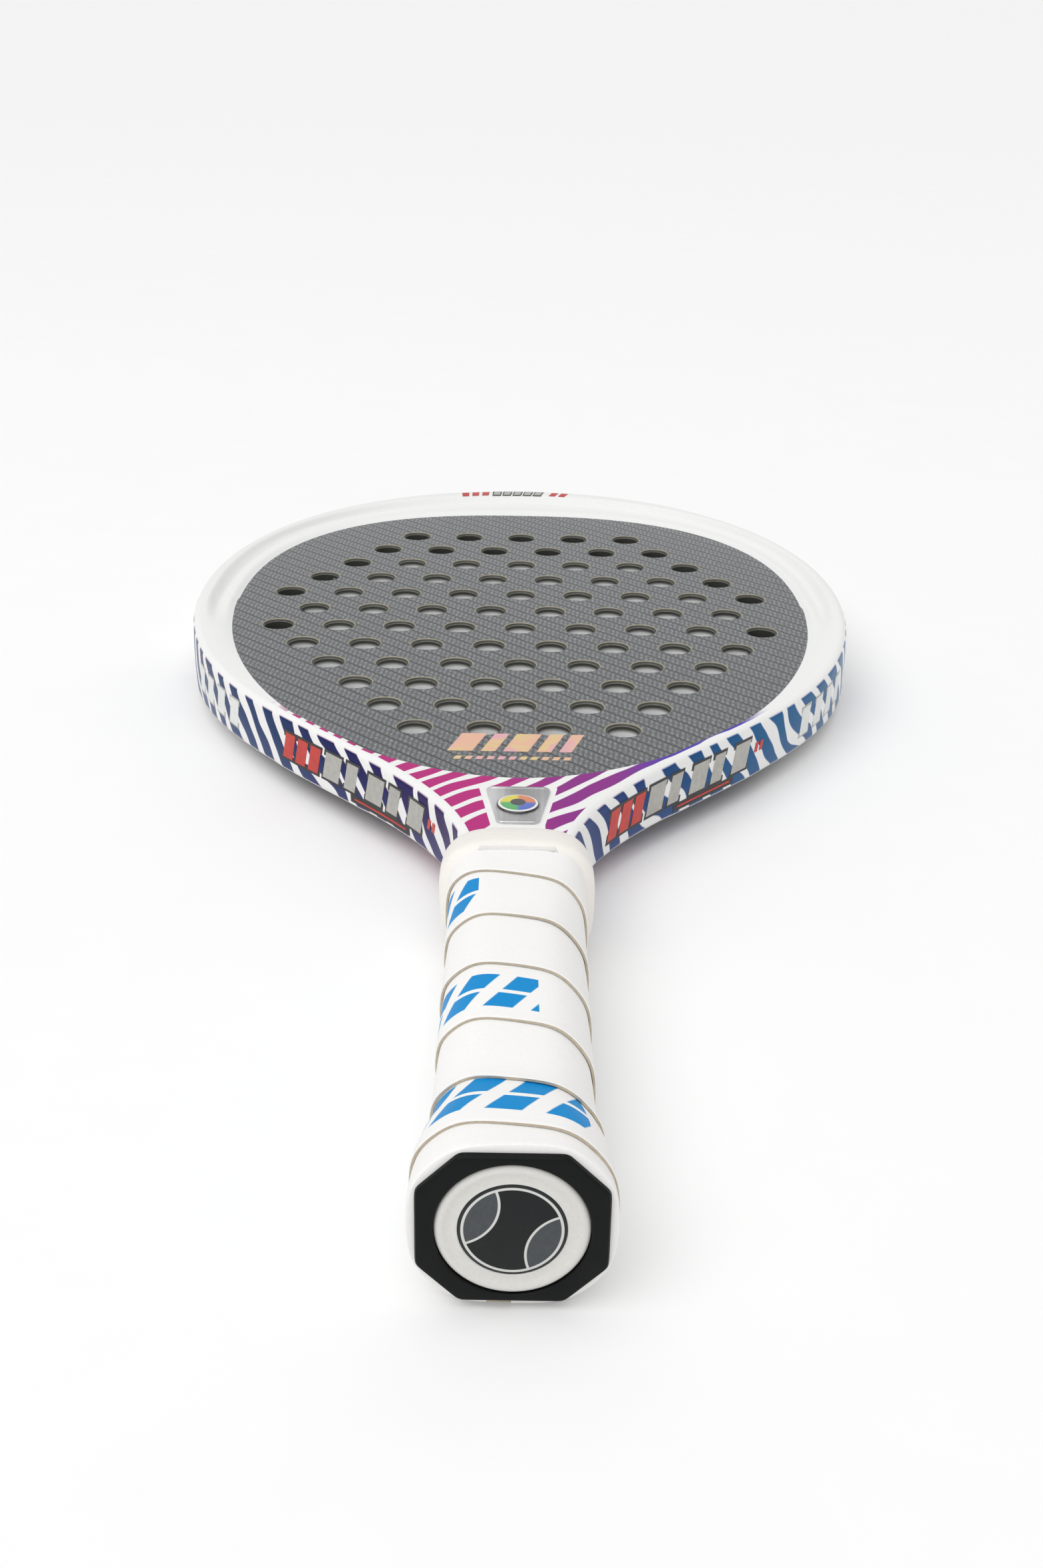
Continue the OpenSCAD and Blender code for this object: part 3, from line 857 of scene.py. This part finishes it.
CAP_CORNER = 0.45            # share of the half width that each sloping flat cuts off
GRIP_CORNER = [(0, CAP_CORNER), (100, CAP_CORNER), (112, 0.38), (128, 0.27), (140, 0.25)]
GRIP_HALF_W = [(1.5, 18.3), (3, 18.6), (8, 18.75), (14, 18.4), (20, 17.35), (27, 15.9),
               (34, 15.45), (90, 15.45), (109, 15.75), (119, 16.0), (132, 16.1)]
GRIP_HALF_H = [(1.5, 16.55), (3, 16.75), (8, 16.7), (14, 16.5), (20, 15.7), (27, 14.5),
               (34, 14.05), (90, 14.05), (132, 14.15)]
SEAMS = [(-0.5, 1.5), (0.42, 1.5), (1, 8.6), (2, 26.6), (3, 48.5), (4, 70.7), (5, 92.9),
         (6, 114.2), (7, 135.6)]      # turn number at the top of the grip, and the edge's y
TAPE = 0.7                            # thickness of the tape
LAP = 3.0                             # overlap of neighbouring turns
TAPE_END = 131.0
RUN = 0.104                           # length of tape in one turn, in metres
TAPE_PRINTS = [(0.87 * RUN, 0.42 * RUN), (2.95 * RUN, 0.34 * RUN), (5.09 * RUN, 0.20 * RUN)]


def on_grip(turn, y, lift):
    """A point over the grip's core. Turns run from the top of the grip towards -X."""
    angle = math.pi / 2 + 2 * math.pi * turn
    half_w, half_h = through(GRIP_HALF_W, y) + lift, through(GRIP_HALF_H, y) + lift
    reach = octagon_reach(angle, half_w, half_h, corner=through(GRIP_CORNER, y))
    return around(reach, angle, y)


def overgrip_ribbon():
    """The tape itself, wound from the butt to the collar, each turn lapping the one before."""
    turns = np.arange(-0.5, 6.62, 1 / 96)
    shares = np.array([0, 0.004, 0.015, 0.05, 0.1, 0.2, 0.32, 0.45, 0.58, 0.7, 0.8, 0.88, 0.94, 1])
    rows, uv = [], []
    for turn in turns:
        edge = through(SEAMS, turn)
        pitch = through(SEAMS, turn + 1) - edge
        width = min(max(pitch, 5) + LAP, TAPE_END - edge)
        w = shares * width
        slope = np.clip(1 - w / max(pitch, 6), 0, 1)
        outer = TAPE + TAPE * 1.05 * slope ** 0.8
        loose = 0.10 + 0.28 * max(0, math.cos(2 * math.pi * (turn + 0.06))) ** 6
        loose *= 1 + 0.35 * math.sin(9.1 * turn + 1.3)
        outer = outer + loose * np.exp(-w / 1.8) - 0.22 * np.exp(-w / 0.10)
        inner = np.where(w < LAP, TAPE + 0.03 + 0.8 * loose * np.exp(-w / 1.8), outer - TAPE)
        inner = np.minimum(inner, outer - 0.25)
        inner = mix(-0.15, inner, smooth(turn, 0.3, 0.8))      # the first turn is doubled
        wave = 0.35 * math.sin(5.3 * turn) + 0.2 * math.sin(12.7 * turn)
        y = edge + w + wave * smooth(edge, 10, 25)
        outside = on_grip(np.full_like(y, turn), y, outer)
        inside = on_grip(np.full_like(y, turn), y, inner)
        rows.append(np.concatenate([outside, inside[::-1]]))
        across = np.concatenate([w, w[::-1]]) * MM
        uv.append(np.column_stack([np.full(len(across), turn * RUN), across]))
    n = len(rows[0])
    faces = grid_faces(len(rows), n, closed_columns=True)
    faces += [tuple(range(n)), tuple((len(rows) - 1) * n + k for k in range(n))[::-1]]
    # material 1 on each turn's cut edge holds the tan edge colour, partly painted seam shadow
    cut = [1 if k % n == n - 1 and turns[k // n] > 0.45 else 0 for k in range(len(faces))]
    return outward(mesh("overgrip_tape", np.concatenate(rows), faces, uv=np.concatenate(uv),
                        sharp=40, material_of=cut))


COLLAR_HALF_W = [(125, 17.9), (126.2, 18.9), (128, 19.4), (131, 19.5), (136, 19.3), (140, 18.5),
                 (141.5, 17.8), (142, 17.0)]
COLLAR_HALF_H = [(125, 15.7), (126.2, 16.1), (128, 16.35), (131, 16.2), (136, 15.6), (140, 14.7),
                 (141.5, 14.1), (142, 13.3)]


def squarish(angle, half_w, half_h, power):
    """Reach of a rounded rectangle, at an angle up from +X."""
    return (np.abs(np.cos(angle) / half_w) ** power
            + np.abs(np.sin(angle) / half_h) ** power) ** (-1 / power)


def collar():
    """Soft rubber ring over the grip's end: a fat rounded bead with its crease on the tape."""
    angles = full_turn(160)
    low, high = COLLAR_LOW[1] - 1, COLLAR_HIGH[1]

    def ring(share, shrink=0.0):
        """A ring of the outside, share of the way from the crease to the head end."""
        crease = low + 3.4 * np.abs(np.sin(angles)) ** 1.5
        y = crease + (high - crease) * share
        profile = low + (high - low) * share
        wave = 0.07 * np.sin(7 * angles + 1.1) * math.sin(math.pi * share)
        half_w = through(COLLAR_HALF_W, profile) - shrink
        half_h = through(COLLAR_HALF_H, profile) - shrink
        bead = squarish(angles, half_w, half_h, 3.4) + wave
        core_w, core_h = [through(table, y) + TAPE + 0.2 for table in (GRIP_HALF_W, GRIP_HALF_H)]
        hug = octagon_reach(angles, core_w, core_h, corner=through(GRIP_CORNER, y)) - shrink
        reach = mix(hug, bead, smooth(share, -0.02, 0.12))
        return around(reach, angles, y)

    def neck_ring(y):
        half = np.interp(y, RIGHT[:, 1], RIGHT[:, 0]) + 0.05
        reach = squarish(angles, half, FACE_Z + 0.05, 14)
        return around(reach, angles, y)

    def grip_ring(y, lift):
        turns = (angles - math.pi / 2) / (2 * math.pi)
        return on_grip(turns, np.full_like(angles, y), lift)

    shares = [0, 0.02, 0.05, 0.09, 0.14, 0.2, 0.28, 0.38, 0.5, 0.6, 0.7, 0.8, 0.88, 0.93, 0.97, 1]
    rings = [ring(share) for share in shares]
    rings += [ring(1, 0.35), neck_ring(high - 0.3), neck_ring(137), neck_ring(TAPE_END + 0.2)]
    rings += [grip_ring(TAPE_END + 0.2, TAPE + 0.2), grip_ring(low + 4, TAPE + 0.2), ring(0, 0.4)]
    rings.append(rings[0])
    return outward(closed_tube("collar_rubber_ring", rings))


def closed_tube(name, rings):
    """A skin whose last ring is its first."""
    count = len(rings[0])
    points = np.concatenate(rings[:-1])
    faces = grid_faces(len(rings) - 1, count, closed_rows=True, closed_columns=True)
    return mesh(name, points, faces, sharp=40)


def octagon_ring(half_w, half_h, y, angles, sharpness=60):
    return around(octagon_reach(angles, half_w, half_h, sharpness), angles, y)


def cap():
    """Black octagonal butt cap, with a bevelled end, a round seat for the disc and a skirt."""
    angles = full_turn(256)
    half_w, half_h = CAP_HIGH[0], CAP_HIGH[2]
    seat = DISC_HIGH[0] + 0.05
    inner_w, inner_h = BASE_HIGH[0] - 1.6, BASE_HIGH[2] - 1.6
    flat = [(seat, DISC_HIGH[1]), (seat, 0.2), (seat + 0.2, 0.0)]
    rings = [[(0, DISC_HIGH[1], 0)]]
    rings += [[about_y(r, a, y) for a in angles] for r, y in flat]
    sizes = [(half_w - 0.75, half_h - 0.75, 0.0), (half_w - 0.3, half_h - 0.3, 0.15),
             (half_w - 0.05, half_h - 0.05, 0.5), (half_w, half_h, 0.9), (half_w, half_h, 6.0),
             (BASE_HIGH[0], BASE_HIGH[2], CAP_HIGH[1]), (inner_w, inner_h, CAP_HIGH[1]),
             (inner_w, inner_h, 4.0)]
    rings += [octagon_ring(w, h, y, angles) for w, h, y in sizes]
    rings.append([(0, 4.0, 0)])
    return rings_mesh("butt_cap_moulding", rings, sharp=30)


def disc():
    """Pale round cover with a raised lip, dished towards the badge's seat."""
    r, seat = DISC_HIGH[0], BUTT_BADGE_HIGH[0]
    profile = [(0, 1.2), (r, 1.2), (r - 0.05, 0.95), (r - 0.25, 0.6), (r - 0.6, 0.25), (r - 1.0, 0.05),
               (r - 1.4, 0.0), (r - 1.8, 0.07), (r - 2.3, 0.3), (r - 2.9, 0.42), (seat + 0.5, 0.42),
               (seat + 0.15, 0.34), (seat, 0.5), (seat, 0.9), (0, 0.9)]
    return lathe("butt_disc_cover", profile, sharp=40)


def butt_badge():
    r = BUTT_BADGE_HIGH[0] - 0.05
    profile = [(0, 0.3), (r - 0.35, 0.32), (r - 0.1, 0.4), (r, 0.55), (r, 0.9), (0, 0.9)]
    return lathe("butt_badge_plate", profile, sharp=40)


# ---------------- badges and decals

def rounded(corners, radius, inset, steps=7):
    """A convex loop of corners, rounded, and drawn in by inset."""
    corners = np.array(corners, float)
    loop = []
    for k, here in enumerate(corners):
        arriving, leaving = here - corners[k - 1], corners[(k + 1) % len(corners)] - here
        first, second = [np.array([d[1], -d[0]]) / np.linalg.norm(d) for d in (arriving, leaving)]
        centre = here - radius * (first + second) / (1 + np.dot(first, second))
        start, end = math.atan2(first[1], first[0]), math.atan2(second[1], second[0])
        if end < start:
            end += 2 * math.pi
        loop += [centre + (radius - inset) * np.array([math.cos(a), math.sin(a)])
                 for a in np.linspace(start, end, steps)]
    return np.array(loop)


def throat_badge(side):
    """Brushed trapezoid plate with a raised, rounded border."""
    low, high = PLATE_LOW, PLATE_HIGH
    narrow = 5.5
    corners = [(-narrow, low[1]), (narrow, low[1]), (high[0], high[1]), (low[0], high[1])]
    base = FACE_Z
    top = high[2]
    levels = [(0, base + 0.01), (0, top - 0.25), (0.08, top - 0.1), (0.25, top), (0.6, top),
              (0.95, top - 0.06), (1.15, top - 0.22), (1.3, top - 0.25)]
    rings = []
    for inset, z in levels:
        loop = rounded(corners, 2.0, inset)
        rings.append(np.column_stack([loop, np.full(len(loop), side * z)]))
    middle = (low[1] + high[1]) / 2
    rings.insert(0, [(0, middle, side * (base + 0.01))])
    rings.append([(0, middle, side * (top - 0.25))])
    return rings_mesh("throat_badge_plate_" + NAMES[side], rings, sharp=35)


def throat_dome(side):
    """Clear lens on the badge."""
    middle = (DOME_LOW[1] + DOME_HIGH[1]) / 2
    r, base = DOME_HIGH[0], DOME_LOW[2] - 0.25
    rise = DOME_HIGH[2] - base

    def turn(radius, angle, height):
        return (radius * math.cos(angle), middle + radius * math.sin(angle), side * height)

    profile = [(0, base), (r, base)]
    profile += [(r * math.cos(a) ** 0.5, base + 0.15 + (rise - 0.15) * math.sin(a))
                for a in np.linspace(0, math.pi / 2, 14)[:-1]]
    profile.append((0, base + rise))
    return lathe("throat_dome_lens_" + NAMES[side], profile, turn, 96)


NAMES = {1: "front", -1: "back"}


def wall_surface(side):
    """Maps distance along a side wall, measured from DECAL_ZERO_Y, and height to a point."""
    half = len(RIGHT)
    zero = np.interp(DECAL_ZERO_Y, RIGHT[:, 1], TRAVEL[:half])

    def surface(u, v):
        at = u + zero
        spot = between(at, TRAVEL[:half], RIGHT)
        normal = -between(at, TRAVEL[:half], INWARD[:half])
        top = FACE_Z + crest_over_face(spot[1])
        spot = spot - normal * wall_inset(v, top)
        return (side * spot[0], spot[1], v), (side * normal[0], normal[1], 0)

    return surface


def slanted(u, v, width, height, lean):
    """A slanting bar with its lower left corner at (u, v)."""
    return [(u, v), (u + width, v), (u + width + lean, v + height), (u + lean, v + height)]


def grown(shape, by):
    """The shape, spread by a margin on every side."""
    middle = np.mean(shape, axis=0)
    return [tuple(np.array(p) + by * np.sign(np.array(p) - middle)) for p in shape]


def strip(u0, u1, v0, v1, step=3.0):
    """A long low rectangle as short pieces, so that it can bend."""
    at = np.linspace(u0, u1, max(2, int((u1 - u0) / step) + 1))
    return [[(a, v0), (b, v0), (b, v1), (a, v1)] for a, b in zip(at, at[1:])]


DECAL_ZERO_Y = 180.0
MARK_START = 11.0            # how far the right wall's mark starts before DECAL_ZERO_Y
MARK_END = 62.6              # how far the left wall's mark starts past it


def side_decal(side):
    """Slanting red and silver bars with a dark outline, and a dark band under them. The mark
    reads from left to right on both walls, so it runs away from the neck on the right one."""
    def placed(shapes):
        return [[(u - MARK_START if side > 0 else MARK_END - u, v) for u, v in shape] for shape in shapes]

    lean = 2.2
    red = [slanted(0.4 + 6.4 * k, -4.2, 4.9, 8.4, lean) for k in range(3)]
    silver = [slanted(20.6 + 10.2 * k, -4.1, w, 8.6, lean) for k, w in enumerate((7.6, 5.2, 7.6, 5.2, 7.6))]
    band = strip(34, 63, -7.4, -4.9)
    line = strip(36, 61, -6.4, -5.8)
    tick = [slanted(73 + 2.6 * k, -0.6, 1.6, 3.0, 0.8) for k in range(2)]
    outline = [grown(shape, 0.8) for shape in red + silver]
    far = [slanted(90 + 10.5 * k, -4.4, 6.0, 8.8, 1.5 * side) for k in range(4)]
    far_edge = [grown(shape, 0.6) for shape in far]
    layers = [(placed(outline + band), 0.02, 0.05, 0), (placed(silver), 0.08, 0.05, 1),
              (placed(red + tick + line), 0.08, 0.05, 2), (far_edge, 0.02, 0.05, 1),
              (far, 0.08, 0.05, 3)]
    name = "side_decal_bars_" + ("right" if side > 0 else "left")
    return film(name, layers, wall_surface(side))


def tip_decal():
    """Bars on the flat of the crest, at the tip."""
    every = np.arange(len(OUTLINE))
    close = every[TIP_INDEX - 40:TIP_INDEX + 41]

    def surface(u, v):
        station = np.interp(u, -OUTLINE[close, 0], close)
        spot, inward = between(station, every, OUTLINE), between(station, every, INWARD)
        return (*(spot + v * inward), TUBE_HIGH[2]), (0, 0, 1)

    red = [slanted(-20 + 4.2 * k, 3.2, 2.8, 4.6, 0.9) for k in range(2)]
    red += [slanted(14 + 4.4 * k, 3.2, 3.0, 4.6, 0.9) for k in range(3)]
    grey = [slanted(-9 + 4.5 * k, 3.2, 2.9, 4.6, 0.9) for k in range(5)]
    outline = [grown(shape, 0.5) for shape in grey]
    layers = [(outline, 0.02, 0.05, 0), (grey, 0.08, 0.05, 1), (red, 0.02, 0.06, 2)]
    return film("tip_decal_bars", layers, surface)


def foil_mark(side):
    """Slanting rose-gold bars over a row of short dashes."""
    left, low = FOIL_LOW[0], FOIL_LOW[1]
    bars = [slanted(left + u, low + 8.8, w, 13.0, 4.0)
            for u, w in ((0, 7.2), (9.6, 4.2), (16.0, 7.2), (25.6, 4.2), (32.0, 3.6))]
    dashes = [slanted(left + 2 + 3.1 * k, low + 3, 1.9, 2.2, 0.7) for k in range(11)]

    def surface(u, v):
        return (u, v, side * FACE_Z), (0, 0, side)

    return film("foil_bars_" + NAMES[side], [(bars + dashes, 0.0, 0.03, 0)], surface)


# ---------------- everything together

def build_frame():
    piece(frame_shell(), "frame_tube", "lacquer", lacquer("frame_lacquer", True))
    white = lacquer("cover_lacquer", False)
    weave = carbon()
    bevel = cut_edge()
    for side in (1, -1):
        name = NAMES[side]
        cover = plate("throat_cover_panel_" + name, cover_loop(), [], FACE_Z, FACE_Z - SKIN, side < 0)
        piece(cover, "throat_cover_" + name, "lacquer", white)
        face = plate("carbon_sheet_" + name, sheet_edge(), hole_centres(), FACE_Z, SHEET_LOW[2], side < 0)
        piece(face, name + "_carbon_face", "carbon_weave", weave, bevel)
        piece(foil_mark(side), "foil_mark_" + name, "foil", foil_paint)


def build_handle():
    # the tape's cut edge is tan: partly the backing's own colour, partly painted shadow of the lapped seam
    cut = plain("overgrip_edge_backing_and_shade", rgb(190, 179, 160), 0.7, 900, 0.00002, 0.08, Specular_IOR_Level=0.1)
    piece(overgrip_ribbon(), "overgrip", "overgrip", tape(), cut)
    piece(collar(), "grip_collar", "collar_rubber", rubber_collar())
    black = plain("cap_nylon", rgb(12, 15, 14), 0.5, 900, 0.00003, 0.12, Specular_IOR_Level=0.16)
    piece(cap(), "butt_cap", "cap_plastic", black)
    pale = plain("disc_plastic", rgb(220, 219, 214), 0.42, 1300, 0.00002, 0.03)
    piece(disc(), "butt_disc", "disc_plastic", pale)
    piece(butt_badge(), "butt_badge", "badge_print", butt_print())


def build_marks():
    metal = brushed("badge_aluminium", (246, 246, 248))
    middle = (0.0, (DOME_LOW[1] + DOME_HIGH[1]) / 2)
    lens = dome_print(middle)
    for side in (1, -1):
        piece(throat_badge(side), "throat_badge_" + NAMES[side], "badge_metal", metal)
        piece(throat_dome(side), "throat_dome_" + NAMES[side], "dome_resin", lens)
    inks = (("dark", (24, 22, 24), 900, 0.06), ("silver", (176, 174, 168), 700, 0.10),
            ("red", (196, 44, 32), 700, 0.10), ("pale", (226, 228, 226), 700, 0.04))
    dark, silver, red, pale = [plain("decal_" + name, rgb(*colour), 0.35, scale, 0.00001, amount)
                               for name, colour, scale, amount in inks]
    for side, name in ((1, "right"), (-1, "left")):
        piece(side_decal(side), "side_decal_" + name, "decal_vinyl", dark, silver, red, pale)
    piece(tip_decal(), "tip_decal", "decal_vinyl", dark, silver, red)


def finish_inside():
    """Materials for the hidden CAD pieces that stay as they are."""
    foam = plain("filler_foam", rgb(222, 205, 160), 0.85, 1800, 0.0003, 0.10)
    glass = plain("glass_ply", rgb(150, 150, 140), 0.5, 1600, 0.0001, 0.10)
    pallet = plain("pallet_foam", rgb(206, 180, 132), 0.85, 1600, 0.0003, 0.10)
    finishes = {
        "frame_foam": foam, "throat_foam": foam, "eva_core": core_foam(),
        "front_glass_ply": glass, "back_glass_ply": glass,
        "handle_pallet_front": pallet, "handle_pallet_back": pallet,
        "throat_bridge": plain("bridge_laminate", rgb(52, 54, 56), 0.5, 1400, 0.0001, 0.12),
        "base_grip": plain("base_grip_foam", rgb(30, 30, 31), 0.8, 1500, 0.0002, 0.15),
        "grip_end_tape": plain("end_tape", rgb(232, 231, 228), 0.55, 900, 0.00006, 0.04)}
    for node, material in finishes.items():
        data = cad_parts[node].data
        data.materials.clear()
        data.materials.append(material)


def camera():
    lens = bpy.data.cameras.new("camera")
    lens.lens = 40.894
    lens.clip_start = 0.01
    seen = linked("camera", lens)
    seen.location = (-0.00104, -0.26471, 0.2103)
    seen.rotation_euler = [math.radians(a) for a in (65.642, -0.991, 0.199)]
    bpy.context.scene.camera = seen


def softbox(name, place, size, watts, target=(0.0, 0.2, 0.0)):
    light = bpy.data.lights.new(name, "AREA")
    light.shape = "RECTANGLE"
    light.size, light.size_y = size
    light.energy = watts
    lamp = linked(name, light)
    lamp.location = place
    lamp.rotation_euler = (Vector(target) - Vector(place)).to_track_quat("-Z", "Y").to_euler()


def studio():
    """White room, big soft lights, and a pale floor under the butt flare and the tip."""
    scene = bpy.context.scene
    scene.view_settings.view_transform = "Standard"
    world = bpy.data.worlds.new("room")
    world.use_nodes = True
    background = world.node_tree.nodes["Background"].inputs
    background["Color"].default_value = (1.0, 1.0, 1.0, 1)
    background["Strength"].default_value = 0.6
    scene.world = world
    sun = bpy.data.lights.new("ceiling", "SUN")
    sun.energy = 1.22
    sun.angle = math.radians(75)
    ceiling = linked("ceiling", sun)
    ceiling.rotation_euler = (math.radians(18), math.radians(-14), 0)
    softbox("key", (-0.7, -0.5, 1.3), (1.0, 0.7), 2.5)
    near, far = 8.0, TIP_Y
    drop_near, drop_far = -18.25, -TUBE_HIGH[2] - 0.05
    slope = (drop_far - drop_near) / (far - near)
    half = 60000.0              # 60 m, so that no edge of the floor is in view
    grid = [(x, y, drop_near + slope * (y - near)) for y in (-half, half) for x in (-half, half)]
    floor = mesh("floor", grid, [(0, 1, 3, 2)])
    paint = Paint("floor_paper", Roughness=0.9)
    paint.colour(speckled(paint, rgb(250, 250, 250), 60, 0.004))
    floor.data.materials.append(paint.material)


foil_paint = foil()
camera()
studio()
build_frame()
build_handle()
build_marks()
finish_inside()
